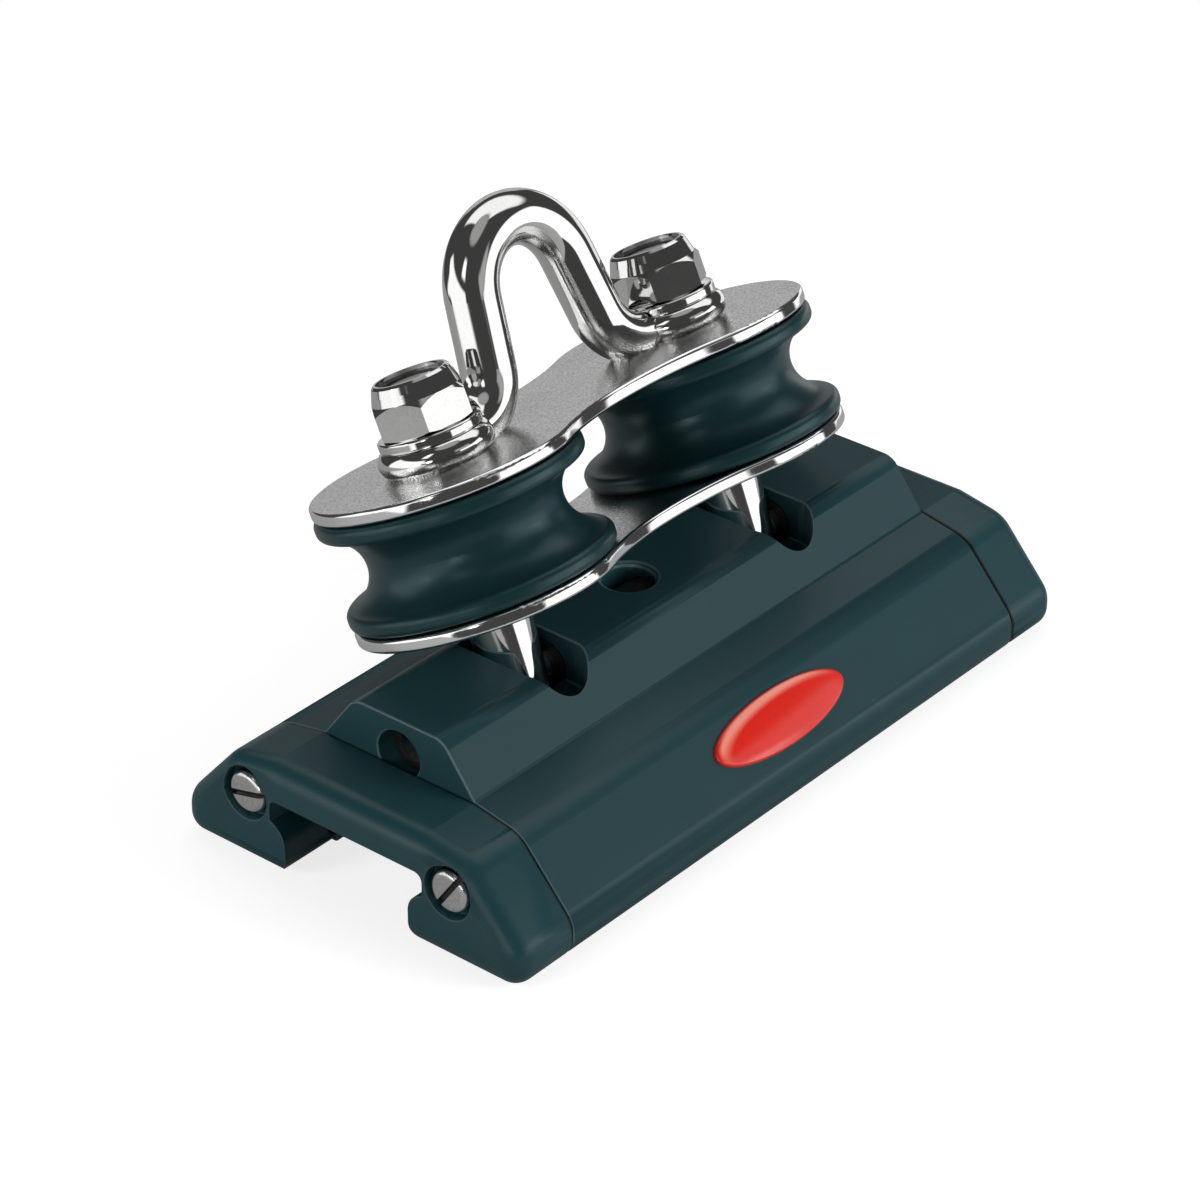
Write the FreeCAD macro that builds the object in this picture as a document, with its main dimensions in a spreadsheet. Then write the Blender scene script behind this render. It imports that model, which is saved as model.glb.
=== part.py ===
import FreeCAD, Part
import Sketcher
import math
import os
import re

# Mainsheet traveller car for a 30 mm track, in millimetres.
# The frame: +X along the track, -Y toward the labelled flank, +Z up.
# The origin lies on the underside plane, at the middle of the car.
# The head is built upright about the pivot rod and then leans toward +Y by lean_angle.

# The driving sizes
sizes = {
    # Extrusion and end caps
    "body_length": 126,  # extrusion between the end caps
    "cap_length": 14,  # one end cap along the track
    "ridge_top_half": 10,  # half width of the ridge at its top
    "ridge_edge_radius": 4,  # rounding of the ridge's upper edges
    "foot_half": 17,  # half width of the ridge at its foot
    "foot_height": 22.2,  # foot of the ridge and top of the end caps
    "foot_radius": 0.8,  # inner rounding at the foot of the ridge
    "shoulder_half": 27.1,  # half width at the bend from shoulder to flank
    "shoulder_height": 20.3,  # height of that bend
    "shoulder_radius": 7.5,  # rounding of that bend
    "side_half": 38.5,  # half of the whole width
    "side_height": 7.4,  # height of the bend from flank to side
    "side_radius": 6,  # rounding of that bend
    "bottom_radius": 4,  # rounding of the lowest outer edge
    "cap_front_radius": 4,  # rounding of a cap's front edge

    # Channel for the track
    "channel_half": 17.3,  # half width of the channel above the lips
    "channel_height": 15.1,  # ceiling of the channel
    "channel_corner_radius": 1.5,  # rounding under the ceiling
    "lip_height": 9.4,  # top of the lips beside the track
    "lip_slope": 1.5,  # rise of the ledge above a lip
    "body_lip_half": 14.9,  # half gap between the lips of the extrusion
    "body_lip_radius": 1,  # rounding of the lips of the extrusion
    "cap_lip_half": 14,  # half gap between the lobes of an end cap
    "cap_lip_radius": 4.4,  # rounding of the lobes of an end cap

    # Recirculating balls
    "ball_radius": 3.175,  # bearing ball
    "ball_play": 0.125,  # play of a ball in its race
    "ball_gap": 0.1,  # gap from ball to ball
    "race_across": 16.8,  # centre of the loaded race from the middle
    "race_height": 4.9,  # centre of both races above the underside
    "return_across": 28.9,  # centre of the return race from the middle

    # Pivot
    "pivot_bore_radius": 4.7,  # bore along the ridge
    "ridge_wall": 2.5,  # wall of the ridge above that bore
    "snug_play": 0.05,  # play of bushes, screws and plastic rings in their seats
    "pivot_rod_radius": 3,  # rod through both posts
    "pivot_rod_inset": 5,  # end of the rod inside the end face
    "pivot_bush_inset": 4,  # end of the outer bushes inside the end face
    "hole_radius": 4.8,  # hole down to the middle bush
    "hole_chamfer": 0.6,  # widening at its mouth
    "hole_along": -2.2,  # that hole from the middle of the car
    "lean_angle": 25,  # lean of the head at rest

    # Pockets that let the posts swing
    "pocket_play": 0.1,  # pocket beyond the widest part of a post
    "pocket_half": 13.3,  # half length of a pocket across the car
    "slot_drop": 1.4,  # floor of the swing slot below the pivot axis
    "foot_play": 1.117,  # floor of the round socket below the lowest point of a leaning post
    "socket_wall": 2.1,  # wall between a socket and the channel
    "stop_play": 0.1,  # gap at rest between a post's foot and the socket's wall, its stop

    # Posts and the stack on them, heights from the pivot axis
    "stud_spacing": 63.5,  # between the two posts
    "post_foot_radius": 4.6,  # foot of a post
    "post_foot_depth": 4.8,  # foot of a post below the pivot axis
    "post_edge": 0.5,  # bevel of the foot
    "post_top_radius": 6.6,  # shoulder under the lower plate
    "post_hole_play": 0.1,  # play of a post on the rod
    "stud_radius": 5,  # threaded shank of a post
    "stud_play": 0.1,  # play of the shank in plates, bush, bow and washer
    "stud_recess": 1.3,  # end of the shank below the top of the nut
    "plate_seat": 15.4,  # underside of the lower plate
    "plate_thickness": 2.5,  # both plates
    "plate_edge": 0.7,  # rounding of the plates' edges
    "lobe_radius": 24.1,  # round ends of the plates
    "waist_half": 16.5,  # half width of the plates at the waist
    "bush_length": 20.7,  # sheave bush, which spaces the plates
    "bush_radius": 7,  # outside of the sheave bush

    # Sheaves
    "sheave_play": 0.3,  # gap from a sheave to each plate
    "sheave_bore_play": 0.1,  # play of a sheave on its bush
    "sheave_radius": 24.4,  # rim of a sheave
    "sheave_lip": 3.1,  # thickness of a rim
    "sheave_edge": 1.3,  # rounding of a rim
    "groove_depth": 6.4,  # depth of the rope groove

    # Bow, washers and nuts
    "bar_radius": 5,  # round bar of the bow
    "crown_radius": 12.5,  # centre line of the crown
    "crown_height": 60.8,  # centre of the crown
    "leg_splay": 10,  # slope of the legs from upright
    "foot_bend_radius": 9.4,  # centre line of the bend into an eye
    "eye_radius": 10.5,  # eye of the bow
    "eye_thickness": 4.4,  # eye of the bow
    "eye_edge": 1.2,  # swell of the eye's outer edge between its two faces
    "spot_face_play": 0.7,  # flat cut into a leg beyond the washer
    "washer_rim": 0.1,  # washer beyond the corners of the nut
    "washer_thickness": 2,  # washer
    "washer_edge": 0.5,  # rounding of the washer
    "nut_across_flats": 16,  # nut
    "nut_height": 9.5,  # whole nut
    "nut_hex_height": 6.2,  # six-sided part of the nut
    "nut_collar_radius": 7.1,  # collar above the six sides
    "nut_rim": 0.9,  # wall of the collar and depth of the insert in it
    "insert_height": 2.2,  # plastic ring in the collar
    "nut_turn_near": 48,  # turn of the nut at the near end
    "nut_turn_far": 36,  # turn of the nut at the far end

    # Cap screws
    "screw_across": 23,  # cap screws from the middle
    "screw_height": 14,  # cap screws above the underside
    "screw_radius": 2,  # thread of a cap screw
    "screw_length": 20,  # cap screw under its head
    "cap_hole_play": 0.25,  # play of a cap screw in the cap
    "screw_hole_spare": 2,  # tapped hole beyond the screw's end
    "screw_head_radius": 4.1,  # head of a cap screw
    "screw_head_height": 2.4,  # head of a cap screw
    "screw_head_edge": 1.2,  # rounding of the head
    "screw_slot_width": 1.1,  # slot in the head
    "screw_slot_depth": 1.2,  # slot in the head
    "screw_recess_radius": 5,  # recess in the cap for a head
    "screw_recess_depth": 2.6,  # recess in the cap for a head

    # Label on the flank
    "label_length": 35.5,  # oval label
    "label_width": 10.5,  # oval label
    "label_thickness": 0.8,  # oval label
    "label_edge": 0.6,  # rounding of the label
    "label_down": 0.47,  # share of the flank's slope above the label's middle
}

# Sizes that follow from others; heights of the stack on a post are from the pivot axis
derived = {
    "foot_swing": "post_foot_depth * cos(lean_angle) + (post_foot_radius - post_edge) * sin(lean_angle)",
    "pivot_height": "channel_height + socket_wall + foot_play + foot_swing",
    "ridge_top_height": "pivot_height + pivot_bore_radius + ridge_wall",
    "pocket_radius": "post_top_radius + pocket_play",
    "nut_corner": "nut_across_flats / sqrt(3)",
    "washer_radius": "nut_corner + washer_rim",
    "low_top": "plate_seat + plate_thickness",
    "high_foot": "low_top + bush_length",
    "high_top": "high_foot + plate_thickness",
    "eye_top": "high_top + eye_thickness",
    "washer_top": "eye_top + washer_thickness",
    "nut_top": "washer_top + nut_height",
}

doc = FreeCAD.newDocument("TravellerCar")
sheet = doc.addObject("Spreadsheet::Sheet", "Sizes")
for row, (name, number) in enumerate(sizes.items(), 1):
    sheet.set("A%d" % row, "'" + name)
    sheet.set("B%d" % row, str(number))
    sheet.setAlias("B%d" % row, name)
doc.recompute()


# Writes out derived sizes and puts the sheet's name before the others
def formula(text):
    def written(word):
        name = word.group()
        if name in derived:
            return "(%s)" % formula(derived[name])
        return "Sizes." + name if name in sizes else name
    return re.sub(r"[a-z]\w*", written, text)


# The number behind a formula
def cell(text):
    return float(sheet.evalExpression(formula(text)))


def bind(thing, formulas):
    for path, text in formulas.items():
        thing.setExpression(path, formula(text))


# Placement: three formulas for the spot and, if it turns, an axis with a formula for the angle
def place(thing, spot, axis=None, angle=None):
    if axis:
        thing.Placement = FreeCAD.Placement(FreeCAD.Vector(), FreeCAD.Rotation(FreeCAD.Vector(*axis), 1))
        bind(thing, {"Placement.Rotation.Angle": angle})
    bind(thing, dict(zip(["Placement.Base.x", "Placement.Base.y", "Placement.Base.z"], spot)))


# Sets a head piece that was built upright about the pivot into its leaning place
def lean(thing, across="0"):
    place(thing, (across, "0", "pivot_height"), (-1, 0, 0), "lean_angle")


direction = {
    "x": FreeCAD.Rotation(FreeCAD.Vector(0, 1, 0), 90),
    "y": FreeCAD.Rotation(FreeCAD.Vector(1, 0, 0), -90),
    "z": FreeCAD.Rotation(),
}


def cylinder(name, radius, length, spot, along="z"):
    thing = doc.addObject("Part::Cylinder", name)
    thing.Placement = FreeCAD.Placement(FreeCAD.Vector(), direction[along])
    bind(thing, {"Radius": radius, "Height": length})
    place(thing, spot)
    return thing


def cone(name, low, high, length, spot):
    thing = doc.addObject("Part::Cone", name)
    bind(thing, {"Radius1": low, "Radius2": high, "Height": length})
    place(thing, spot)
    return thing


def block(name, lengths, spot):
    thing = doc.addObject("Part::Box", name)
    bind(thing, dict(zip(["Length", "Width", "Height"], lengths)))
    place(thing, spot)
    return thing


def ring(name, big, small, spot):
    thing = doc.addObject("Part::Torus", name)
    bind(thing, {"Radius1": big, "Radius2": small})
    place(thing, spot)
    return thing


def join(name, pieces):
    thing = doc.addObject("Part::MultiFuse", name)
    thing.Shapes = pieces
    thing.Refine = True
    return thing


def cut(name, base, tools):
    thing = doc.addObject("Part::Cut", name)
    thing.Base = base
    thing.Tool = tools[0] if len(tools) == 1 else join(name + "_tools", tools)
    thing.Refine = True
    return thing


# Rounds the wanted edges of a finished shape
def soften(name, base, radius, wanted):
    doc.recompute()
    thing = doc.addObject("Part::Fillet", name)
    thing.Base = base
    rows = [i + 1 for i, edge in enumerate(base.Shape.Edges) if wanted(edge)]
    thing.Edges = [(i, cell(radius), cell(radius)) for i in rows]
    return thing


def new_body(name):
    return doc.addObject("PartDesign::Body", name)


# Closed outline through corners given as pairs of formulas
def outline(body, name, role, corners):
    sketch = body.newObject("Sketcher::SketchObject", name)
    plane = [feature for feature in body.Origin.OriginFeatures if feature.Role == role][0]
    sketch.AttachmentSupport = [(plane, "")]
    sketch.MapMode = "FlatFace"
    count = len(corners)
    start = [FreeCAD.Vector(math.cos(2 * math.pi * i / count), math.sin(2 * math.pi * i / count), 0) * 20
             for i in range(count)]
    for i in range(count):
        sketch.addGeometry(Part.LineSegment(start[i], start[(i + 1) % count]))
    for i in range(count):
        sketch.addConstraint(Sketcher.Constraint("Coincident", i, 2, (i + 1) % count, 1))
    for i, corner in enumerate(corners):
        for kind, axis, text in zip(["DistanceX", "DistanceY"], [-2, -1], corner):
            if text == "0":
                sketch.addConstraint(Sketcher.Constraint("PointOnObject", i, 1, axis))
            else:
                row = sketch.addConstraint(Sketcher.Constraint(kind, -1, 1, i, 1, 1.0))
                bind(sketch, {"Constraints[%d]" % row: text})
    return sketch


def pad(body, name, sketch, length, both=False, reverse=False):
    feature = body.newObject("PartDesign::Pad", name)
    feature.Profile = sketch
    feature.SideType = "Symmetric" if both else "One side"
    feature.Reversed = reverse
    bind(feature, {"Length": length})
    return feature


# Turns an outline in the XZ plane about the Z axis
def turned(name, corners):
    body = new_body(name)
    feature = body.newObject("PartDesign::Revolution", name + "_turn")
    feature.Profile = outline(body, name + "_outline", "XZ_Plane", corners)
    feature.ReferenceAxis = (feature.Profile[0], ["V_Axis"])
    return body


def round_edges(body, name, radius, wanted):
    doc.recompute()
    base = body.Tip
    feature = body.newObject("PartDesign::Fillet", name)
    edges = ["Edge%d" % (i + 1) for i, edge in enumerate(base.Shape.Edges) if wanted(edge)]
    feature.Base = (base, edges)
    bind(feature, {"Radius": radius})


# Lengths count as equal within a hundredth of a millimetre
def same(first, second):
    return abs(first - second) < 0.01


# Edges that run along the car at a given half width and height, or along the underside
def lengthwise(half, height=None):
    level = cell(height) if height else 0

    def wanted(edge):
        ends = [vertex.Point for vertex in edge.Vertexes]
        if len(ends) < 2 or same(ends[0].x, ends[1].x):
            return False
        return all(same(abs(end.y), cell(half)) and same(end.z, level) for end in ends)
    return wanted


# Round edges of a given radius
def circles(radius):
    def wanted(edge):
        return isinstance(edge.Curve, Part.Circle) and same(edge.Curve.Radius, cell(radius))
    return wanted


# Both sides of a half outline given from the middle downward
def mirrored(half):
    return half + [("-(%s)" % across, up) for across, up in reversed(half)]


# Outer form of the extrusion and, without the ridge, of an end cap
def outer_form(name, length, ridge):
    body = new_body(name)
    half = [("foot_half", "foot_height"), ("shoulder_half", "shoulder_height"),
            ("side_half", "side_height"), ("side_half", "0")]
    if ridge:
        half = [("ridge_top_half", "ridge_top_height")] + half
    sketch = outline(body, name + "_section", "YZ_Plane", mirrored(half))
    pad(body, name + "_pad", sketch, length, both=ridge, reverse=not ridge)
    if ridge:
        top_edges = lengthwise("ridge_top_half", "ridge_top_height")
        round_edges(body, name + "_ridge", "ridge_edge_radius", top_edges)
        round_edges(body, name + "_foot", "foot_radius", lengthwise("foot_half", "foot_height"))
    round_edges(body, name + "_shoulder", "shoulder_radius", lengthwise("shoulder_half", "shoulder_height"))
    round_edges(body, name + "_side", "side_radius", lengthwise("side_half", "side_height"))
    return body


# Channel for the track: a cutter with a neck between the lips
def channel(name, lip_half, lip_radius, length, start):
    body = new_body(name)
    half = [("channel_half", "channel_height"), ("channel_half", "lip_height + lip_slope"),
            (lip_half, "lip_height"), (lip_half, "0"), ("channel_half + channel_half", "0"),
            ("channel_half + channel_half", "-lip_slope")]
    pad(body, name + "_pad", outline(body, name + "_section", "YZ_Plane", mirrored(half)), length)
    corners = lengthwise("channel_half", "channel_height")
    round_edges(body, name + "_ceiling", "channel_corner_radius", corners)

    def lip_edge(edge):
        ends = [vertex.Point for vertex in edge.Vertexes]
        if len(ends) < 2 or same(ends[0].x, ends[1].x):
            return False
        return all(same(abs(end.y), cell(lip_half)) and (same(end.z, 0) or same(end.z, cell("lip_height")))
                   for end in ends)

    round_edges(body, name + "_lips", lip_radius, lip_edge)
    place(body, (start, "0", "0"))
    return body


# One side of the two ball races and the two tapped holes of each end, mirrored by sign
def side_bores(sign, word):
    tools = []
    for name, across in (("loaded", "race_across"), ("return", "return_across")):
        tools.append(cylinder("%s_race_%s" % (name, word), "ball_radius + ball_play", "body_length",
                              ("-body_length / 2", sign + across, "race_height"), "x"))
    depth = "screw_length - cap_length + screw_recess_depth + screw_hole_spare"
    for end, start in (("near", "-body_length / 2"), ("far", "body_length / 2 - (%s)" % depth)):
        tools.append(cylinder("tapped_hole_%s_%s" % (end, word), "screw_radius + snug_play", depth,
                              (start, sign + "screw_across", "screw_height"), "x"))
    return tools


# A pocket: a swing slot with round ends over a round socket whose wall stops the post
def pocket(word, across):
    above = "ridge_top_height - pivot_height + slot_drop"
    reach = "(pocket_half - pocket_radius)"
    floor = "pivot_height - slot_drop"
    wall = ("post_foot_radius * cos(lean_angle) + (post_foot_depth - post_edge) * sin(lean_angle)"
            " + stop_play")
    return [
        block("slot_" + word, ("2 * pocket_radius", "2 * " + reach, above),
              (across + " - pocket_radius", "-" + reach, floor)),
        cylinder("slot_end_%s_left" % word, "pocket_radius", above, (across, reach, floor)),
        cylinder("slot_end_%s_right" % word, "pocket_radius", above, (across, "-" + reach, floor)),
        cylinder("socket_" + word, wall, "ridge_top_height - channel_height - socket_wall",
                 (across, "0", "channel_height + socket_wall")),
    ]


def make_body():
    tools = [channel("body_channel", "body_lip_half", "body_lip_radius", "body_length", "-body_length / 2")]
    tools += side_bores("", "left") + side_bores("-", "right")
    tools.append(cylinder("pivot_bore", "pivot_bore_radius", "body_length",
                          ("-body_length / 2", "0", "pivot_height"), "x"))
    tools += pocket("near", "-stud_spacing / 2") + pocket("far", "stud_spacing / 2")
    tools.append(cylinder("ridge_hole", "hole_radius", "ridge_top_height - pivot_height",
                          ("hole_along", "0", "pivot_height")))
    tools.append(cone("ridge_hole_mouth", "hole_radius", "hole_radius + hole_chamfer", "hole_chamfer",
                      ("hole_along", "0", "ridge_top_height - hole_chamfer")))
    form = outer_form("body_form", "body_length", True)
    round_edges(form, "body_form_bottom", "bottom_radius", lengthwise("side_half"))
    return cut("car_body", form, tools)


# An end cap is built for the near end and turned half round for the far end
def make_cap(word, turn):
    form = outer_form("cap_form_" + word, "cap_length", False)
    front = -cell("cap_length")

    def front_edge(edge):
        ends = [vertex.Point for vertex in edge.Vertexes]
        return all(same(end.x, front) for end in ends) and not all(same(end.z, 0) for end in ends)

    def bottom_edge(edge):
        ends = [vertex.Point for vertex in edge.Vertexes]
        outer = any(same(abs(end.y), cell("side_half")) for end in ends)
        return outer and all(same(end.z, 0) for end in ends)

    round_edges(form, "cap_front_" + word, "cap_front_radius", front_edge)
    round_edges(form, "cap_bottom_" + word, "bottom_radius", bottom_edge)
    tools = [channel("cap_channel_" + word, "cap_lip_half", "cap_lip_radius", "cap_length", "-cap_length")]
    for sign, side in (("", "left"), ("-", "right")):
        tag = word + "_" + side
        spot = (sign + "screw_across", "screw_height")
        tools.append(cylinder("cap_hole_" + tag, "screw_radius + cap_hole_play", "cap_length",
                              ("-cap_length",) + spot, "x"))
        tools.append(cylinder("cap_recess_" + tag, "screw_recess_radius", "screw_recess_depth",
                              ("-cap_length",) + spot, "x"))
        middle = sign + "(return_across + race_across) / 2"
        tools.append(ring("turnaround_" + tag, "(return_across - race_across) / 2",
                          "ball_radius + ball_play", ("0", middle, "race_height")))
    cap = cut("end_cap_" + word, form, tools)
    ends = {"near": "-body_length / 2", "far": "body_length / 2"}
    place(cap, (ends[word], "0", "0"), (0, 0, 1), turn)
    return cap


# Slotted pan-head screw, built with its head toward -X
def make_cap_screw(end, side, slot_turn):
    name = "cap_screw_%s_%s" % (end, side)
    head = cylinder(name + "_head", "screw_head_radius", "screw_head_height",
                    ("-screw_head_height", "0", "0"), "x")
    top = -cell("screw_head_height")
    domed = soften(name + "_dome", head, "screw_head_edge",
                   lambda edge: isinstance(edge.Curve, Part.Circle) and same(edge.Curve.Center.x, top))
    shank = cylinder(name + "_shank", "screw_radius", "screw_length", ("0", "0", "0"), "x")
    slot = block(name + "_slot", ("screw_slot_depth", "4 * screw_head_radius", "screw_slot_width"),
                 ("-screw_head_height", "-2 * screw_head_radius", "-screw_slot_width / 2"))
    screw = cut(name, join(name + "_blank", [domed, shank]), [slot])
    sign = {"left": "", "right": "-"}[side]
    seat = "body_length / 2 + cap_length - screw_recess_depth"
    if end == "near":
        turned_slot = FreeCAD.Rotation(FreeCAD.Vector(1, 0, 0), slot_turn)
        screw.Placement = FreeCAD.Placement(FreeCAD.Vector(), turned_slot)
        place(screw, ("-(%s)" % seat, sign + "screw_across", "screw_height"))
    else:
        turned_slot = FreeCAD.Rotation(FreeCAD.Vector(0, 0, 1), 180)
        turned_slot = turned_slot.multiply(FreeCAD.Rotation(FreeCAD.Vector(1, 0, 0), slot_turn))
        screw.Placement = FreeCAD.Placement(FreeCAD.Vector(), turned_slot)
        place(screw, (seat, sign + "screw_across", "screw_height"))
    return screw


def make_pivot():
    rod = cylinder("pivot_rod", "pivot_rod_radius", "body_length - 2 * pivot_rod_inset",
                   ("-body_length / 2 + pivot_rod_inset", "0", "pivot_height"), "x")
    outer = "body_length / 2 - pivot_bush_inset"
    inner = "stud_spacing / 2 + pocket_radius"
    middle = "stud_spacing / 2 - pocket_radius"
    runs = {
        "near": ("-(%s)" % outer, "-(%s)" % inner),
        "middle": ("-(%s)" % middle, middle),
        "far": (inner, outer),
    }
    bushes = []
    for word, (start, end) in runs.items():
        length = "(%s) - (%s)" % (end, start)
        spot = (start, "0", "pivot_height")
        shell = cylinder("rod_bush_shell_" + word, "pivot_bore_radius - snug_play", length, spot, "x")
        inside = cylinder("rod_bush_inside_" + word, "pivot_rod_radius + snug_play", length, spot, "x")
        bushes.append(cut("rod_bush_" + word, shell, [inside]))
    return [rod] + bushes


# Centre of a ball after a given way round its loop: loaded race, turn, return race, turn
def on_loop(way):
    half = cell("body_length") / 2
    straight = 2 * half
    radius = (cell("return_across") - cell("race_across")) / 2
    middle = (cell("return_across") + cell("race_across")) / 2
    bend = math.pi * radius
    if way < straight:
        along, across = way - half, middle - radius
    elif way < straight + bend:
        angle = (way - straight) / radius
        along, across = half + radius * math.sin(angle), middle - radius * math.cos(angle)
    elif way < 2 * straight + bend:
        along, across = half + straight + bend - way, middle + radius
    else:
        angle = (way - 2 * straight - bend) / radius
        along, across = -half - radius * math.sin(angle), middle + radius * math.cos(angle)
    return FreeCAD.Vector(along, across, cell("race_height"))


# A train of balls that fills one loop, each a little apart from the next
def make_balls(word, sign):
    radius = (cell("return_across") - cell("race_across")) / 2
    whole = 2 * cell("body_length") + 2 * math.pi * radius
    pitch = 2 * cell("ball_radius") + cell("ball_gap")
    way = pitch / 2
    centres = [on_loop(way)]
    while True:
        way += pitch
        while way < whole and on_loop(way).distanceToPoint(centres[-1]) < pitch:
            way += cell("ball_gap") / 4
        if way >= whole or on_loop(way).distanceToPoint(centres[0]) < pitch:
            break
        centres.append(on_loop(way))
    balls = []
    for centre in centres:
        centre.y *= sign
        balls.append(Part.makeSphere(cell("ball_radius"), centre))
    train = doc.addObject("Part::Feature", "ball_train_" + word)
    train.Shape = Part.makeCompound(balls)
    return train


def make_post(word, across):
    blank = turned("post_blank_" + word, [
        ("0", "-post_foot_depth"), ("post_foot_radius - post_edge", "-post_foot_depth"),
        ("post_foot_radius", "-post_foot_depth + post_edge"), ("post_top_radius", "plate_seat - post_edge"),
        ("post_top_radius", "plate_seat"), ("stud_radius", "plate_seat"),
        ("stud_radius", "nut_top - stud_recess - post_edge"),
        ("stud_radius - post_edge", "nut_top - stud_recess"), ("0", "nut_top - stud_recess")])
    hole = cylinder("post_hole_" + word, "pivot_rod_radius + post_hole_play", "4 * post_top_radius",
                    ("-2 * post_top_radius", "0", "0"), "x")
    post = cut("post_" + word, blank, [hole])
    lean(post, across)
    return post


# A plate with two round ends and a waist, whose arcs meet without a corner
def make_plate(word, foot):
    half = "(stud_spacing / 2)"
    hollow = "((%s ^ 2 + waist_half ^ 2 - lobe_radius ^ 2) / (2 * (lobe_radius - waist_half)))" % half
    meet = "(%s * %s / (%s + lobe_radius))" % (half, hollow, hollow)
    wide = "(lobe_radius * (waist_half + %s) / (%s + lobe_radius))" % (hollow, hollow)
    web = block("web_" + word, ("2 * " + meet, "2 * " + wide, "plate_thickness"),
                ("-" + meet, "-" + wide, foot))
    pieces = [web]
    holes = []
    for end, across in (("near", "-" + half), ("far", half)):
        tag = word + "_" + end
        pieces.append(cylinder("lobe_" + tag, "lobe_radius", "plate_thickness", (across, "0", foot)))
        holes.append(cylinder("plate_hole_" + tag, "stud_radius + stud_play", "plate_thickness",
                              (across, "0", foot)))
    for sign, side in (("", "left"), ("-", "right")):
        holes.append(cylinder("waist_%s_%s" % (word, side), hollow, "plate_thickness",
                              ("0", sign + "(waist_half + %s)" % hollow, foot)))
    flat = cut("flat_plate_" + word, join("plate_blank_" + word, pieces), holes)

    def rim(edge):
        level = same(edge.Vertexes[0].Point.z, edge.Vertexes[-1].Point.z)
        return level and not circles("stud_radius + stud_play")(edge)

    plate = soften(word + "_plate", flat, "plate_edge", rim)
    lean(plate)
    return plate


# The rope groove is part of a circle through the two lips at the rim and the groove's bottom
def make_sheave(word, across):
    foot = "low_top + sheave_play"
    high = "(bush_length - 2 * sheave_play)"
    gap_half = "(%s / 2 - sheave_lip)" % high
    curve = "((groove_depth ^ 2 + %s ^ 2) / (2 * groove_depth))" % gap_half
    disc = cylinder("sheave_disc_" + word, "sheave_radius", high, ("0", "0", foot))
    bore = cylinder("sheave_bore_" + word, "bush_radius + sheave_bore_play", high, ("0", "0", foot))
    groove = ring("groove_" + word, "sheave_radius - groove_depth + " + curve, curve,
                  ("0", "0", foot + " + %s / 2" % high))
    grooved = cut("sheave_grooved_" + word, cut("sheave_blank_" + word, disc, [bore]), [groove])
    sheave = soften("sheave_" + word, grooved, "sheave_edge", circles("sheave_radius"))
    lean(sheave, across)
    return sheave


def make_sheave_bush(word, across):
    spot = ("0", "0", "low_top")
    shell = cylinder("bush_shell_" + word, "bush_radius", "bush_length", spot)
    inside = cylinder("bush_inside_" + word, "stud_radius + stud_play", "bush_length", spot)
    bush = cut("sheave_bush_" + word, shell, [inside])
    lean(bush, across)
    return bush


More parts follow.
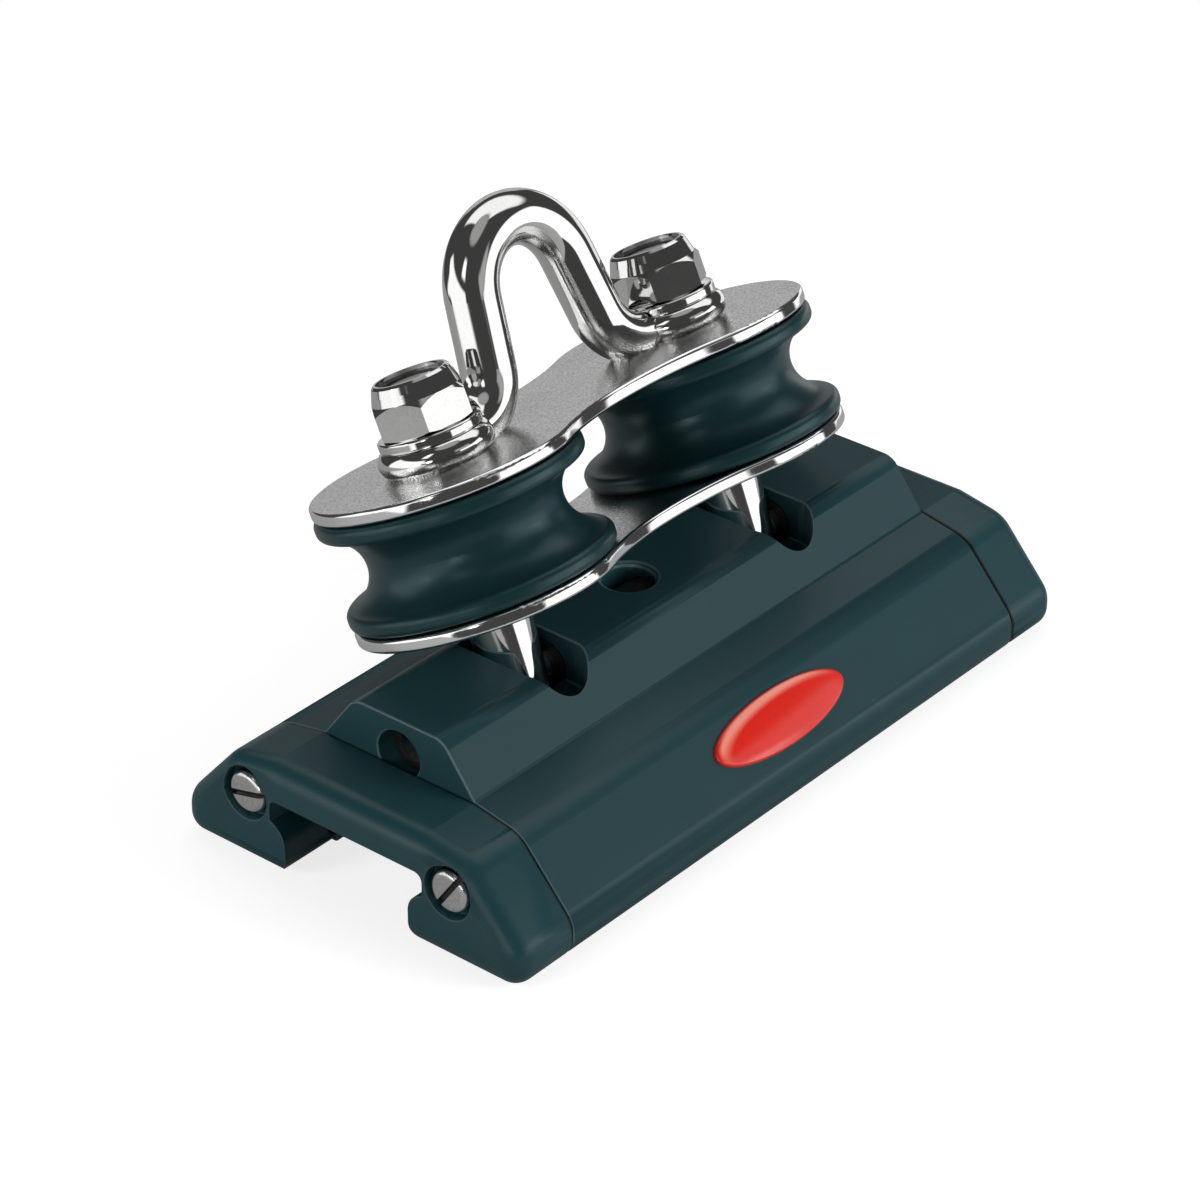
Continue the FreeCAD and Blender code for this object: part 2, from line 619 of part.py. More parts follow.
# The bow: one round bar bent to a crown, two splayed legs and two bends that run into flat eyes
def make_bow():
    splay = math.radians(cell("leg_splay"))
    foot = cell("high_top")
    top = cell("eye_top")
    bend = cell("foot_bend_radius")
    crown = FreeCAD.Vector(0, 0, cell("crown_height"))
    eye = cell("stud_spacing") / 2

    def across(side, point):
        return FreeCAD.Vector(side * point.x, 0, point.z)

    # Points of the right half: end of the crown, start of the bend, middle of the bend, its end
    outward = FreeCAD.Vector(math.cos(splay), 0, math.sin(splay))
    down = FreeCAD.Vector(math.sin(splay), 0, -math.cos(splay))
    crown_end = crown + outward * cell("crown_radius")
    # The leg runs down until the centre of the bend beside it has the bend's height above the eye
    start = crown_end + outward * bend
    turn = start + down * ((start.z - (foot + top) / 2 - bend) / math.cos(splay))
    bend_start = turn - outward * bend
    half_turn = (math.pi / 2 - splay) / 2
    bend_middle = turn + FreeCAD.Vector(-math.sin(half_turn), 0, -math.cos(half_turn)) * bend
    bend_end = turn - FreeCAD.Vector(0, 0, bend)
    path = [
        Part.LineSegment(FreeCAD.Vector(-eye, 0, bend_end.z), across(-1, bend_end)),
        Part.Arc(across(-1, bend_end), across(-1, bend_middle), across(-1, bend_start)),
        Part.LineSegment(across(-1, bend_start), across(-1, crown_end)),
        Part.Arc(across(-1, crown_end), crown + FreeCAD.Vector(0, 0, cell("crown_radius")), crown_end),
        Part.LineSegment(crown_end, bend_start),
        Part.Arc(bend_start, bend_middle, bend_end),
        Part.LineSegment(bend_end, FreeCAD.Vector(eye, 0, bend_end.z)),
    ]
    wire = Part.Wire([piece.toShape() for piece in path])
    start = FreeCAD.Vector(-eye, 0, bend_end.z)
    section = Part.Wire(Part.Circle(start, FreeCAD.Vector(1, 0, 0), cell("bar_radius")).toShape())
    bow = wire.makePipeShell([section], True, True)
    upright = FreeCAD.Vector(0, 0, 1)
    face_radius = cell("eye_radius - eye_edge")
    for side in (-1, 1):
        centre = FreeCAD.Vector(side * eye, 0, foot)
        rim = [centre + FreeCAD.Vector(across, 0, up) for across, up in (
            (0, 0), (face_radius, 0), (cell("eye_radius"), (top - foot) / 2), (face_radius, top - foot),
            (0, top - foot))]
        profile = [Part.LineSegment(rim[0], rim[1]), Part.Arc(rim[1], rim[2], rim[3]),
                   Part.LineSegment(rim[3], rim[4]), Part.LineSegment(rim[4], rim[0])]
        disc = Part.Face(Part.Wire([piece.toShape() for piece in profile])).revolve(centre, upright, 360)
        bow = bow.fuse(disc)
    # The forged underside is flat on the plate, and a spot face seats each washer
    reach = eye + cell("eye_radius") + cell("bar_radius")
    under = Part.makeBox(2 * reach, 2 * reach, reach, FreeCAD.Vector(-reach, -reach, foot - reach))
    cutters = [under]
    for side in (-1, 1):
        centre = FreeCAD.Vector(side * eye, 0, top)
        cutters.append(Part.makeCylinder(cell("washer_radius + spot_face_play"), reach, centre, upright))
        low = FreeCAD.Vector(side * eye, 0, foot - cell("eye_thickness"))
        cutters.append(Part.makeCylinder(cell("stud_radius + stud_play"), reach, low, upright))
    for cutter in cutters:
        bow = bow.cut(cutter)
    thing = doc.addObject("Part::Feature", "shackle_bow")
    thing.Shape = bow.removeSplitter()
    lean(thing)
    return thing


def make_washer(word, across):
    spot = ("0", "0", "eye_top")
    disc = cylinder("washer_disc_" + word, "washer_radius", "washer_thickness", spot)
    hole = cylinder("washer_hole_" + word, "stud_radius + stud_play", "washer_thickness", spot)
    flat = cut("washer_flat_" + word, disc, [hole])
    washer = soften("washer_" + word, flat, "washer_edge", circles("washer_radius"))
    lean(washer, across)
    return washer


# Self-locking nut: six bevelled sides, a collar and a plastic ring held in the collar
def make_nut(word, across):
    flat = "nut_across_flats / 2"
    slope = "(nut_corner - nut_across_flats / 2)"
    hexagon = doc.addObject("Part::Prism", "nut_hexagon_" + word)
    hexagon.Polygon = 6
    bind(hexagon, {"Circumradius": "nut_corner", "Height": "nut_hex_height"})
    place(hexagon, ("0", "0", "washer_top"), (0, 0, 1), "nut_turn_" + word)
    bevel = turned("nut_bevel_" + word, [
        ("0", "washer_top"), (flat, "washer_top"), ("nut_corner", "washer_top + %s / 2" % slope),
        ("nut_corner", "washer_top + nut_hex_height - " + slope), (flat, "washer_top + nut_hex_height"),
        ("0", "washer_top + nut_hex_height")])
    sides = doc.addObject("Part::MultiCommon", "nut_sides_" + word)
    sides.Shapes = [hexagon, bevel]
    collar = turned("nut_collar_" + word, [
        ("0", "washer_top + nut_hex_height / 2"), (flat, "washer_top + nut_hex_height / 2"),
        (flat, "washer_top + nut_hex_height"),
        ("nut_collar_radius + nut_rim / 2", "nut_top - 2 * nut_rim"),
        ("nut_collar_radius", "nut_top - nut_rim / 2"),
        ("nut_collar_radius - nut_rim / 2", "nut_top"), ("0", "nut_top")])
    seat = "nut_top - nut_rim - insert_height"
    mouth = turned("nut_mouth_" + word, [
        ("0", "washer_top"), ("stud_radius + stud_play", "washer_top"), ("stud_radius + stud_play", seat),
        ("nut_collar_radius - nut_rim", seat), ("nut_collar_radius - nut_rim", "nut_top"),
        ("0", "nut_top")])
    nut = cut("lock_nut_" + word, join("nut_blank_" + word, [sides, collar]), [mouth])
    lean(nut, across)
    outside = "nut_collar_radius - nut_rim - snug_play"
    shell = cylinder("insert_shell_" + word, outside, "insert_height", ("0", "0", seat))
    inside = cylinder("insert_inside_" + word, "stud_radius + snug_play", "insert_height", ("0", "0", seat))
    insert = cut("nut_insert_" + word, shell, [inside])
    lean(insert, across)
    return [nut, insert]


# Oval label, flat on the flank
def make_label():
    oval = doc.addObject("Part::Ellipse", "label_oval")
    bind(oval, {"MajorRadius": "label_length / 2", "MinorRadius": "label_width / 2"})
    blank = doc.addObject("Part::Extrusion", "label_blank")
    blank.Base = oval
    blank.DirMode = "Custom"
    blank.Dir = FreeCAD.Vector(0, 0, 1)
    blank.Solid = True
    bind(blank, {"LengthFwd": "label_thickness"})
    top = cell("label_thickness")
    label = soften("flank_label", blank, "label_edge",
                   lambda edge: all(same(vertex.Point.z, top) for vertex in edge.Vertexes))
    wide = "(side_half - shoulder_half)"
    high = "(shoulder_height - side_height)"
    spot = ("0", "-(shoulder_half + label_down * %s)" % wide, "shoulder_height - label_down * " + high)
    place(label, spot, (1, 0, 0), "atan(%s / %s)" % (high, wide))
    return label


parts = [make_body(), make_cap("near", "0"), make_cap("far", "180")]
for end in ("near", "far"):
    parts.append(make_cap_screw(end, "left", -14))
    parts.append(make_cap_screw(end, "right", -55))
parts += make_pivot()
parts += [make_balls("left", 1), make_balls("right", -1), make_label()]
parts += [make_plate("lower", "plate_seat"), make_plate("upper", "high_foot"), make_bow()]
for end, across in (("near", "-stud_spacing / 2"), ("far", "stud_spacing / 2")):
    parts.append(make_post(end, across))
    parts.append(make_sheave_bush(end, across))
    parts.append(make_sheave(end, across))
    parts.append(make_washer(end, across))
    parts += make_nut(end, across)
doc.recompute()

# Every object has to be sound before anything is written
faults = [thing.Label for thing in doc.Objects if "Invalid" in thing.State or "Error" in thing.State]
for part in parts:
    if part.Shape.isNull() or not part.Shape.isValid():
        faults.append(part.Label)
if faults:
    raise RuntimeError("not sound: " + ", ".join(faults))
os.makedirs("parts", exist_ok=True)
for part in parts:
    part.Shape.exportStep("parts/%s.step" % part.Label)
    print("%-24s %9.1f mm3, solids: %d" % (part.Label, part.Shape.Volume, len(part.Shape.Solids)))
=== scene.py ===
import bpy, bmesh, math
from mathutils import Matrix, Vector

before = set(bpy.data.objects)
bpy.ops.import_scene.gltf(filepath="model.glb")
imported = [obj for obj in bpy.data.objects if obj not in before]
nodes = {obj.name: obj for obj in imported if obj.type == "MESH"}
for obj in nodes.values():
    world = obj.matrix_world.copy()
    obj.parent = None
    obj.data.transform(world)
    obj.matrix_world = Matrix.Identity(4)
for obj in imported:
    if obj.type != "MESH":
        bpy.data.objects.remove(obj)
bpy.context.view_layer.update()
scene = bpy.context.scene
scene.view_settings.view_transform = "Standard"
print("frame loaded:", len(nodes), "nodes")

# camera

cameraSettings = {
    "place": (-0.4993, -0.4085, 0.4170),  # in metres
    "look": 58.76,  # degrees up from straight down
    "turn": -50.14,  # degrees about the upright
    "lens": 127.3,  # lens and sensor in millimetres
    "sensor": 36,
    "clip": (0.05, 20),  # in metres
}


def makeCamera(values):
    data = bpy.data.cameras.new("photoCamera")
    data.sensor_width = values["sensor"]
    data.lens = values["lens"]
    data.clip_start, data.clip_end = values["clip"]
    camera = bpy.data.objects.new("photoCamera", data)
    bpy.context.collection.objects.link(camera)
    camera.rotation_euler = (math.radians(values["look"]), 0, math.radians(values["turn"]))
    camera.location = values["place"]
    scene.camera = camera


makeCamera(cameraSettings)
print("camera placed")

# node helpers


def addNode(tree, kind, **values):  # values are sockets by name, or settings of the node
    made = tree.nodes.new("ShaderNode" + kind)
    for key, value in values.items():
        name = key.replace("_", " ")
        if name in made.inputs:
            made.inputs[name].default_value = value
        else:
            setattr(made, key, value)
    return made


def link(tree, source, target):
    tree.links.new(source, target)


def feed(tree, value, target):  # value is a socket to link, or what the target is set to
    if isinstance(value, bpy.types.NodeSocket):
        link(tree, value, target)
    else:
        target.default_value = value


def maths(tree, operation, *values):  # values are sockets or numbers
    made = addNode(tree, "Math", operation=operation)
    for target, value in zip(made.inputs, values):
        feed(tree, value, target)
    return made.outputs[0]


def mapRange(tree, source, fromLow, fromHigh, toLow, toHigh, smooth=False):
    made = addNode(tree, "MapRange", From_Min=fromLow, From_Max=fromHigh,
                   To_Min=toLow, To_Max=toHigh)
    if smooth:
        made.interpolation_type = "SMOOTHSTEP"
    link(tree, source, made.inputs["Value"])
    return made.outputs["Result"]


def mixColour(tree, share, first, second):  # colours are sockets or values
    made = addNode(tree, "Mix", data_type="RGBA")
    link(tree, share, made.inputs["Factor"])
    feed(tree, first, made.inputs[6])
    feed(tree, second, made.inputs[7])
    return made.outputs[2]


def coordinates(tree, kind):  # X, Y and Z of a texture coordinate
    parts = addNode(tree, "SeparateXYZ")
    link(tree, addNode(tree, "TexCoord").outputs[kind], parts.inputs[0])
    return parts.outputs


def newGroup(name, inputs, outputs):
    tree = bpy.data.node_groups.new(name, "ShaderNodeTree")
    for label, value in inputs.items():
        socket = tree.interface.new_socket(label, in_out="INPUT", socket_type="NodeSocketFloat")
        socket.default_value = value
    for label in outputs:
        tree.interface.new_socket(label, in_out="OUTPUT", socket_type="NodeSocketFloat")
    return tree, tree.nodes.new("NodeGroupInput"), tree.nodes.new("NodeGroupOutput")


def useGroup(tree, group, **values):  # values are numbers or sockets
    made = tree.nodes.new("ShaderNodeGroup")
    made.node_tree = group
    for key, value in values.items():
        feed(tree, value, made.inputs[key])
    return made


def newMaterial(name):
    material = bpy.data.materials.new(name)
    material.use_nodes = True
    return material, material.node_tree, material.node_tree.nodes["Principled BSDF"]


def giveMaterial(obj, material):
    if not obj.material_slots:
        obj.data.materials.append(material)
    for place in obj.material_slots:
        place.material = material


# shared effects

effects = {
    "noiseSpan": (0.3, 0.7),  # the part of the noise that is spread over 0 to 1
    "driftSize": 12.0,  # of the slow patches, in millimetres
    "faceSpan": (0.9, 0.98),  # how squarely a surface has to face the axis
    "paintedShadeLevel": 0.08,  # share of the colour that is left under the painted shade
}


def makeGrain():  # even fine grain with a slow drift, both from 0 to 1
    inputs = {"Size": 0.4, "Drift": effects["driftSize"]}  # in millimetres
    tree, start, end = newGroup("grain", inputs, ["Fine", "Slow"])
    spot = addNode(tree, "TexCoord").outputs["Object"]
    for label, output, detail in (("Size", "Fine", 2), ("Drift", "Slow", 3)):
        noise = addNode(tree, "TexNoise", Detail=detail)
        link(tree, spot, noise.inputs["Vector"])
        link(tree, maths(tree, "DIVIDE", 1000.0, start.outputs[label]), noise.inputs["Scale"])
        even = mapRange(tree, noise.outputs["Fac"], *effects["noiseSpan"], 0, 1)
        link(tree, even, end.inputs[output])
    return tree


def makeLines():  # fine lines drawn out along X, as a die leaves them
    tree, start, end = newGroup("drawnLines", {"Size": 0.3, "Stretch": 60.0}, ["Lines"])
    x, y, z = coordinates(tree, "Object")
    joined = addNode(tree, "CombineXYZ")
    link(tree, maths(tree, "DIVIDE", x, start.outputs["Stretch"]), joined.inputs[0])
    link(tree, y, joined.inputs[1])
    link(tree, z, joined.inputs[2])
    noise = addNode(tree, "TexNoise", Detail=3)
    link(tree, joined.outputs[0], noise.inputs["Vector"])
    link(tree, maths(tree, "DIVIDE", 1000.0, start.outputs["Size"]), noise.inputs["Scale"])
    even = mapRange(tree, noise.outputs["Fac"], *effects["noiseSpan"], 0, 1)
    link(tree, even, end.inputs["Lines"])
    return tree


def makePatch():  # soft-edged rectangle on the sky, all in degrees
    inputs = {
        "Turn": 0.0,
        "Rise": 0.0,
        "Toward": 0.0,
        "Height": 0.0,
        "Wide": 30.0,
        "High": 30.0,
        "Soft": 5.0,
    }
    tree, start, end = newGroup("skyPatch", inputs, ["Mask"])
    given = start.outputs
    aside = maths(tree, "SUBTRACT", given["Turn"], given["Toward"])
    aside = maths(tree, "ABSOLUTE", maths(tree, "WRAP", aside, 180.0, -180.0))
    above = maths(tree, "ABSOLUTE", maths(tree, "SUBTRACT", given["Rise"], given["Height"]))
    masks = []
    for amount, limit in ((aside, "Wide"), (above, "High")):
        spare = maths(tree, "DIVIDE", maths(tree, "SUBTRACT", given[limit], amount), given["Soft"])
        masks.append(mapRange(tree, spare, 0, 1, 0, 1, smooth=True))
    link(tree, maths(tree, "MULTIPLY", *masks), end.inputs["Mask"])
    return tree


def makeFaceMask():  # 1 on surfaces that face along an axis leant from +Z toward +Y, 0 elsewhere
    tree, start, end = newGroup("faceMask", {"Lean": 25.0}, ["Face"])
    x, y, z = coordinates(tree, "Normal")
    lean = maths(tree, "RADIANS", start.outputs["Lean"])
    sideward = maths(tree, "MULTIPLY", y, maths(tree, "SINE", lean))
    upward = maths(tree, "MULTIPLY", z, maths(tree, "COSINE", lean))
    squarely = maths(tree, "ABSOLUTE", maths(tree, "ADD", sideward, upward))
    face = mapRange(tree, squarely, *effects["faceSpan"], 0, 1, smooth=True)
    link(tree, face, end.inputs["Face"])
    return tree


grain = makeGrain()
drawnLines = makeLines()
faceMask = makeFaceMask()
skyPatch = makePatch()
print("shared effects built")

# broken edges, so that each edge catches a thin line of light

brokenEdges = {
    # width in metres, steps, least angle in degrees, whether short edges hold the width back
    "car_body": (0.0003, 1, 32, False),
    "end_cap_near": (0.0002, 1, 62, False),
    "end_cap_far": (0.0002, 1, 62, False),
    "lower_plate": (0.0007, 3, 32, True),
    "upper_plate": (0.0007, 3, 32, True),
}
weldReach = 0.000005  # joins the frame's split corners, in metres
flatLimit = 0.4  # facets within this angle are one flat face, in degrees


def breakEdges(name, width, steps, angle, held):
    joined = nodes[name].modifiers.new("joinedFaces", "WELD")
    joined.merge_threshold = weldReach
    if not held:
        flat = nodes[name].modifiers.new("wholeFaces", "DECIMATE")
        flat.decimate_type = "DISSOLVE"
        flat.angle_limit = math.radians(flatLimit)
    edge = nodes[name].modifiers.new("brokenEdge", "BEVEL")
    edge.width = width
    edge.segments = steps
    edge.limit_method = "ANGLE"
    edge.angle_limit = math.radians(angle)
    edge.use_clamp_overlap = held
    edge.loop_slide = held
    edge.harden_normals = True


for name, values in brokenEdges.items():
    breakEdges(name, *values)
print("edges broken")

# finishes


def scaled(colour, amount):
    return (*[c * amount for c in colour], 1)


def makeFinish(name, values):
    material, tree, shader = newMaterial(name)
    shader.inputs["Metallic"].default_value = values.get("metallic", 0.0)
    shader.inputs["Specular IOR Level"].default_value = values.get("specular", 0.5)
    shader.inputs["Specular Tint"].default_value = (*values.get("tint", (1, 1, 1)), 1)
    shader.inputs["Coat Weight"].default_value = values.get("coat", 0.0)
    marks = useGroup(tree, grain, Size=values["grain"], Drift=effects["driftSize"])
    fine = marks.outputs["Fine"]
    if "lines" in values:
        size, stretch = values["lines"]
        fine = useGroup(tree, drawnLines, Size=size, Stretch=stretch).outputs["Lines"]
    drift = values.get("drift", 0.4)
    slow = maths(tree, "MULTIPLY", marks.outputs["Slow"], drift)
    mixed = maths(tree, "ADD", maths(tree, "MULTIPLY", fine, 1 - drift), slow)
    spread = values.get("spread", 0.04)
    rough = mapRange(tree, mixed, 0, 1, values["roughness"] - spread, values["roughness"] + spread)
    if "face" in values:  # the flat faces are rougher than the rims, and only they carry the grain
        face = useGroup(tree, faceMask, Lean=values["lean"]).outputs["Face"]
        rougher = values["face"] - values["roughness"]
        rough = maths(tree, "ADD", rough, maths(tree, "MULTIPLY", face, rougher))
        mixed = maths(tree, "MULTIPLY", mixed, face)
        fine = maths(tree, "MULTIPLY", fine, face)
    link(tree, rough, shader.inputs["Roughness"])
    shade, base = values.get("shade", 0.12), values["colour"]
    colour = mixColour(tree, mixed, scaled(base, 1 + shade), scaled(base, 1 - shade))
    if "paintedShade" in values:  # painted shade: dark up to this distance from mid-length, in a slot or a joint
        out = maths(tree, "ABSOLUTE", coordinates(tree, "Object")[0])
        share = mapRange(tree, out, *values["paintedShade"], 1, 0, smooth=True)
        colour = mixColour(tree, share, colour, scaled(base, effects["paintedShadeLevel"]))
    if "paintedHighlight" in values:  # a painted highlight: a paler crescent along the label's upper edge
        inner = ovalReach(tree, values, *values["crescent"])
        inside = mapRange(tree, ovalReach(tree, values), *values["outerEdge"], 1, 0, smooth=True)
        outside = mapRange(tree, inner, *values["innerEdge"], 0, 1, smooth=True)
        share = maths(tree, "MULTIPLY", inside, outside)
        colour = mixColour(tree, share, colour, scaled(values["paintedHighlight"], 1))
    link(tree, colour, shader.inputs["Base Color"])
    depth = values.get("depth", 0.01) / 1000  # given in millimetres
    relief = addNode(tree, "Bump", Strength=values.get("bump", 0.05), Distance=depth)
    link(tree, fine, relief.inputs["Height"])
    link(tree, relief.outputs[0], shader.inputs["Normal"])
    if "dome" in values:
        crown = addNode(tree, "Bump", Strength=1.0, Distance=values["dome"])
        link(tree, domeHeight(tree, values), crown.inputs["Height"])
        link(tree, crown.outputs[0], relief.inputs["Normal"])
    return material


def ovalReach(tree, values, asideBy=0.0, upBy=0.0):  # squared: 0 at the middle, 1 at the edge
    x, y, z = coordinates(tree, "Object")
    slope = math.radians(values["slope"])
    middleY, middleZ = values["middle"]
    along = maths(tree, "DIVIDE", x, values["halfLength"])
    along = maths(tree, "SUBTRACT", along, asideBy)
    back = maths(tree, "MULTIPLY", maths(tree, "SUBTRACT", y, middleY), math.cos(slope))
    rise = maths(tree, "MULTIPLY", maths(tree, "SUBTRACT", z, middleZ), math.sin(slope))
    across = maths(tree, "DIVIDE", maths(tree, "ADD", back, rise), values["halfWidth"])
    across = maths(tree, "SUBTRACT", across, upBy)
    squares = [maths(tree, "MULTIPLY", part, part) for part in (along, across)]
    return maths(tree, "ADD", *squares)


def domeHeight(tree, values):  # highest at the oval's middle, falling in a round curve to its edge
    spare = maths(tree, "SUBTRACT", values["reach"], ovalReach(tree, values))
    return maths(tree, "SQRT", maths(tree, "MAXIMUM", spare, 0.0))


def dress(names, material):
    for name in names:
        giveMaterial(nodes[name], material)


def paintEdgeHighlight(names, material):  # a second, lighter finish for the broken edges alone: a painted highlight along each edge
    for name in names:
        nodes[name].data.materials.append(material)
        nodes[name].modifiers["brokenEdge"].material = len(nodes[name].material_slots) - 1


bodyFinish = {  # dark anodising with faint die lines along the car
    "colour": (0.012, 0.046, 0.054),
    "metallic": 0.08,
    "specular": 0.4,
    "roughness": 0.38,
    "spread": 0.03,
    "grain": 0.3,
    "lines": (0.25, 120),  # size in millimetres, stretch
    "shade": 0.05,
    "bump": 0.06,
}
# lighter colour on the broken edges: a painted highlight along each edge
edgeHighlightFinish = {**bodyFinish, "colour": (0.075, 0.125, 0.135), "roughness": 0.3}
dress(["car_body"], makeFinish("anodisedAluminium", bodyFinish))
paintEdgeHighlight(["car_body"], makeFinish("anodisingEdgeHighlight", edgeHighlightFinish))

capFinish = {
    "colour": (0.009, 0.044, 0.052),
    "specular": 0.4,
    "roughness": 0.36,
    "spread": 0.05,
    "grain": 0.35,
    "bump": 0.08,
    "depth": 0.02,
    "paintedShade": (0.0634, 0.06355),  # painted shade in the joint with the extrusion
}
# lighter colour on the cap's broken edges: a painted highlight along each edge
capEdgeHighlightFinish = {**capFinish, "colour": (0.035, 0.075, 0.083)}
dress(["end_cap_near", "end_cap_far"], makeFinish("mouldedCap", capFinish))
paintEdgeHighlight(["end_cap_near", "end_cap_far"], makeFinish("capEdgeHighlight", capEdgeHighlightFinish))

sheaveFinish = {
    "colour": (0.006, 0.026, 0.030),
    "specular": 0.5,
    "tint": (0.7, 0.98, 1.0),
    "roughness": 0.32,
    "grain": 0.5,
    "depth": 0.02,
}
dress(["sheave_near", "sheave_far"], makeFinish("sheavePlastic", sheaveFinish))

plateFinish = {  # tumbled faces and polished rims
    "colour": (0.78, 0.78, 0.775),
    "metallic": 1.0,
    "roughness": 0.07,
    "face": 0.17,
    "lean": 25.0,  # degrees, as the head stands at rest
    "grain": 0.4,
    "drift": 0.12,
    "shade": 0.5,
    "bump": 0.8,
    "depth": 0.03,
}
dress(["lower_plate", "upper_plate"], makeFinish("plateSteel", plateFinish))

steelFinish = {
    "colour": (0.84, 0.835, 0.825),
    "metallic": 1.0,
    "roughness": 0.05,
    "spread": 0.02,
    "grain": 0.6,
    "shade": 0.04,
    "bump": 0.01,
}
dress(["shackle_bow", "washer_near", "washer_far", "pivot_rod"],
      makeFinish("polishedSteel", steelFinish))

nutFinish = {
    "colour": (0.80, 0.80, 0.79),
    "metallic": 1.0,
    "roughness": 0.07,
    "spread": 0.03,
    "grain": 0.45,
    "shade": 0.06,
    "bump": 0.03,
}
dress(["lock_nut_near", "lock_nut_far"], makeFinish("nutSteel", nutFinish))

postFinish = {  # polished round the side, rough where it was cut off
    "colour": (0.80, 0.795, 0.785),
    "metallic": 1.0,
    "roughness": 0.06,
    "face": 0.45,
    "lean": 25.0,
    "grain": 0.5,
    "shade": 0.15,
    "bump": 0.4,
    "depth": 0.05,
}
dress(["post_near", "post_far"], makeFinish("postSteel", postFinish))

screwFinish = {
    "colour": (0.72, 0.71, 0.70),
    "metallic": 1.0,
    "roughness": 0.2,
    "spread": 0.08,
    "grain": 0.6,
    "shade": 0.2,
    "bump": 0.2,
    "depth": 0.03,
    "paintedShade": (0.07575, 0.07605),  # painted shade on the slot's floor and walls
}
dress(["cap_screw_near_left", "cap_screw_near_right", "cap_screw_far_left", "cap_screw_far_right"],
      makeFinish("screwSteel", screwFinish))

bushFinish = {
    "colour": (0.015, 0.015, 0.016),
    "roughness": 0.5,
    "spread": 0.05,
    "grain": 0.4,
    "depth": 0.02,
}
dress(["rod_bush_near", "rod_bush_middle", "rod_bush_far", "sheave_bush_near", "sheave_bush_far"],
      makeFinish("bushPlastic", bushFinish))

ballFinish = {
    "colour": (0.42, 0.28, 0.12),
    "roughness": 0.35,
    "spread": 0.05,
    "grain": 0.5,
    "bump": 0.02,
}
dress(["ball_train_left", "ball_train_right"], makeFinish("ballPlastic", ballFinish))

insertFinish = {
    "colour": (0.05, 0.05, 0.052),
    "roughness": 0.4,
    "spread": 0.05,
    "grain": 0.5,
    "bump": 0.05,
}
dress(["nut_insert_near", "nut_insert_far"], makeFinish("insertNylon", insertFinish))

labelFinish = {
    "colour": (0.70, 0.017, 0.008),
    "specular": 0.3,
    "coat": 1.0,
    "paintedHighlight": (0.90, 0.30, 0.22),  # colour of the painted highlight crescent
    "crescent": (0.12, -0.35),  # its inner oval's place along and up, in half sizes
    "innerEdge": (0.85, 1.4),
    "outerEdge": (0.8, 0.97),
    "roughness": 0.12,
    "spread": 0.02,
    "grain": 1.2,
    "shade": 0.05,
    "bump": 0.02,
    "dome": 0.0009,  # height in metres
    "reach": 1.12,  # where the dome's curve would meet the flank, 1 at the label's edge
    "middle": (-0.03264, 0.01438),  # along Y and Z
    "slope": 48.5,  # degrees of the flank
    "halfLength": 0.01775,
    "halfWidth": 0.00525,
}
dress(["flank_label"], makeFinish("redLabel", labelFinish))
print("finishes given")

# studio

studio = {
    "floorHeight": -0.0003,  # just under the car, in metres
    "floorReach": 0.33,  # radius in metres
    "floorColour": 0.42,
    "floorRoughness": 0.9,
    "floorSpecular": 0.1,
    "floorGlow": 0.77,  # what the camera sees on top of the lit paper
    "floorMirrored": 0.05,  # what polished metal sees of it
    "dark": 0.05,  # level of the walls between the patches
}
skyPatches = [
    # turn from +X toward +Y, rise, half width, half height, soft edge in degrees, level
    ("rightWall", -61, 1, 31, 26, 5, 1.25),
    ("leftWall", 154, 6, 42, 21, 6, 1.15),
    ("leftEnd", -162, 10, 14, 7, 5, 1.2),
    ("rightLamp", -51, 11, 8, 8, 8, 6.5),
    ("leftLamp", 159, 13, 8, 8, 8, 6.5),
    ("endLamp", -153, 9, 7, 7, 6, 9.0),
    ("backLight", 30, 54, 62, 22, 8, 1.05),
    ("lowBack", 10, -5, 23, 11, 5, 0.95),
    ("greyBack", 48, 2, 18, 17, 5, 0.48),
    ("greyFront", -82, 31, 23, 11, 8, 0.4),
    ("highLeft", -177, 46, 13, 14, 8, 1.3),
    ("overhead", 0, 90, 190, 22, 8, 0.35),
]


def makeFloor(values):
    mesh = bpy.data.meshes.new("floorPaper")
    shape = bmesh.new()
    bmesh.ops.create_circle(shape, cap_ends=True, segments=96, radius=values["floorReach"])
    shape.to_mesh(mesh)
    shape.free()
    floor = bpy.data.objects.new("floorPaper", mesh)
    floor.location.z = values["floorHeight"]
    bpy.context.collection.objects.link(floor)
    material, tree, shader = newMaterial("floorPaper")
    shader.inputs["Base Color"].default_value = (values["floorColour"],) * 3 + (1,)
    shader.inputs["Roughness"].default_value = values["floorRoughness"]
    shader.inputs["Specular IOR Level"].default_value = values["floorSpecular"]
    shader.inputs["Emission Color"].default_value = (1, 1, 1, 1)
    path = addNode(tree, "LightPath")
    seen = maths(tree, "MULTIPLY", path.outputs["Is Camera Ray"], values["floorGlow"])
    glossy, through = path.outputs["Is Glossy Ray"], path.outputs["Is Transmission Ray"]
    mirrored = maths(tree, "MAXIMUM", glossy, through)
    mirrored = maths(tree, "MULTIPLY", mirrored, values["floorMirrored"])
    link(tree, maths(tree, "ADD", seen, mirrored), shader.inputs["Emission Strength"])
    mesh.materials.append(material)


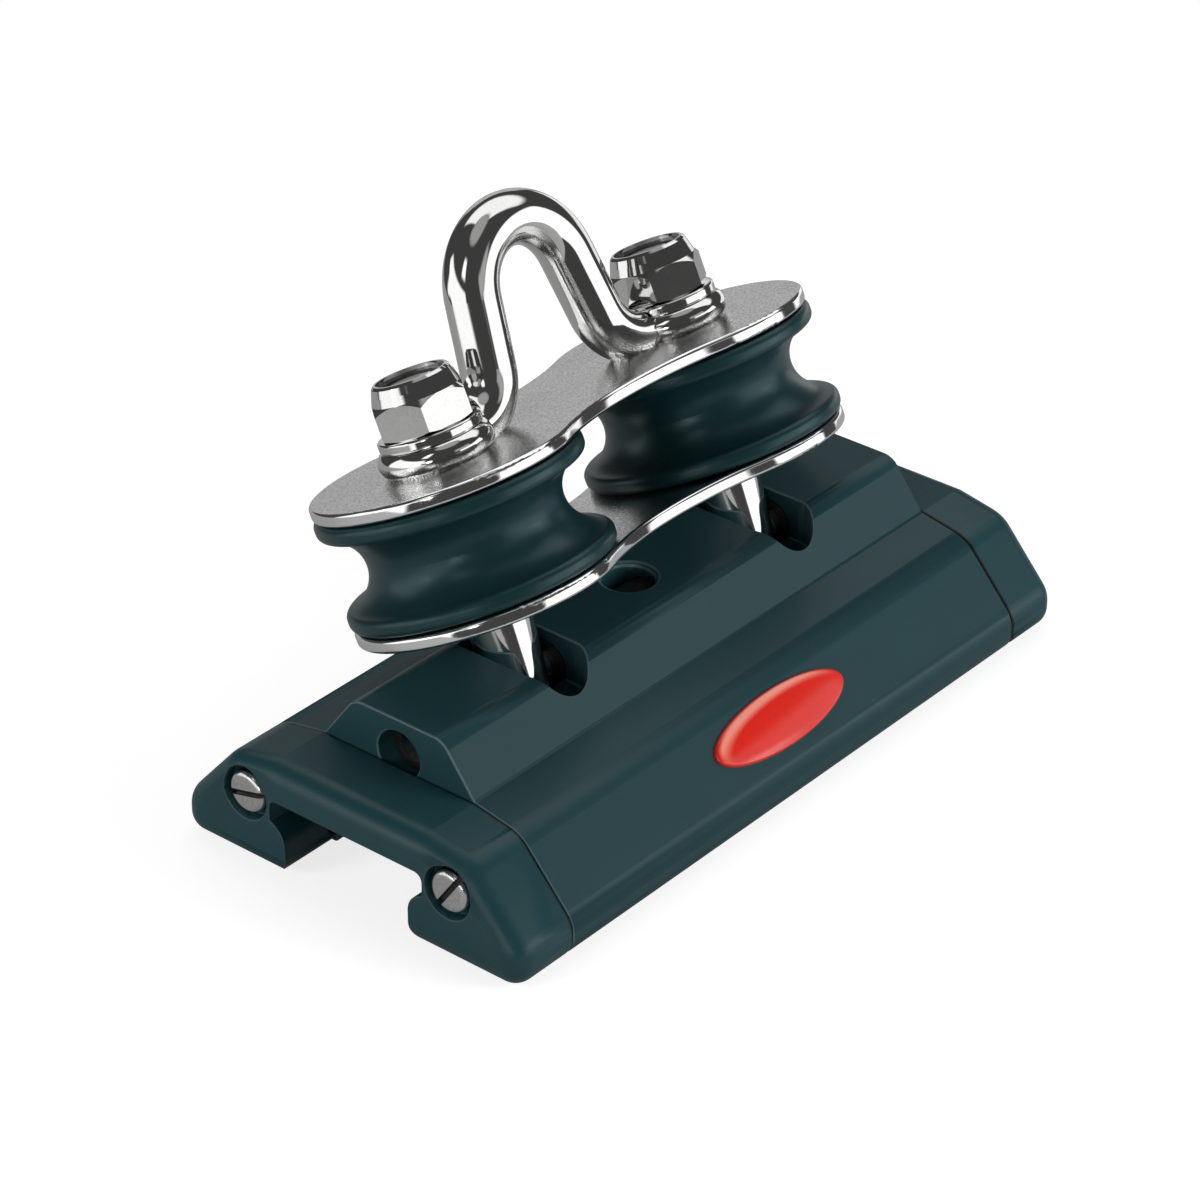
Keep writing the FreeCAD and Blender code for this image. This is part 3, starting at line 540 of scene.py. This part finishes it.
def makeWorld(values, patches):
    world = bpy.data.worlds.new("studioWorld")
    scene.world = world
    world.use_nodes = True
    tree = world.node_tree
    x, y, z = coordinates(tree, "Generated")
    turn = maths(tree, "DEGREES", maths(tree, "ARCTAN2", y, x))
    rise = maths(tree, "DEGREES", maths(tree, "ARCSINE", z))
    level = values["dark"]
    for name, toward, height, wide, high, soft, strength in patches:
        patch = useGroup(tree, skyPatch, Turn=turn, Rise=rise, Toward=toward, Height=height,
                         Wide=wide, High=high, Soft=soft)
        patch.label = name
        lit = maths(tree, "MULTIPLY", patch.outputs["Mask"], strength)
        level = maths(tree, "MAXIMUM", lit, level)
    walls = tree.nodes["Background"]
    walls.inputs["Color"].default_value = (1, 1, 1, 1)
    link(tree, level, walls.inputs["Strength"])
    backdrop = addNode(tree, "Background", Color=(1, 1, 1, 1), Strength=1.0)
    path = addNode(tree, "LightPath")
    camera, through = path.outputs["Is Camera Ray"], path.outputs["Is Transmission Ray"]
    # the camera sees a white backdrop, and polished metal the studio's walls
    either = addNode(tree, "MixShader")
    link(tree, maths(tree, "MAXIMUM", camera, through), either.inputs[0])
    link(tree, walls.outputs[0], either.inputs[1])
    link(tree, backdrop.outputs[0], either.inputs[2])
    link(tree, either.outputs[0], tree.nodes["World Output"].inputs["Surface"])


softboxes = [
    # name, place, aimed at, width, height, power
    ("rightBox", (0.40, -1.0, 0.36), (0, 0, 0.03), 0.5, 0.5, 8.5),
    ("leftBox", (-0.95, 0.4, 0.45), (0, 0, 0.03), 0.35, 0.5, 4.0),
    ("topBox", (0.0, 0.1, 1.1), (0, 0, 0.03), 0.5, 0.5, 0.3),
    ("frontBox", (-0.75, -0.5, 0.3), (0, 0, 0.03), 0.4, 0.3, 0.7),
]


def makeSoftbox(name, place, aim, width, height, power):
    data = bpy.data.lights.new(name, "AREA")
    data.shape = "RECTANGLE"
    data.size, data.size_y = width, height
    data.energy = power
    lamp = bpy.data.objects.new(name, data)
    bpy.context.collection.objects.link(lamp)
    lamp.location = place
    lamp.rotation_euler = (Vector(aim) - Vector(place)).to_track_quat("-Z", "Y").to_euler()
    lamp.visible_glossy = False


makeFloor(studio)
makeWorld(studio, skyPatches)
for box in softboxes:
    makeSoftbox(*box)
print("studio lit")
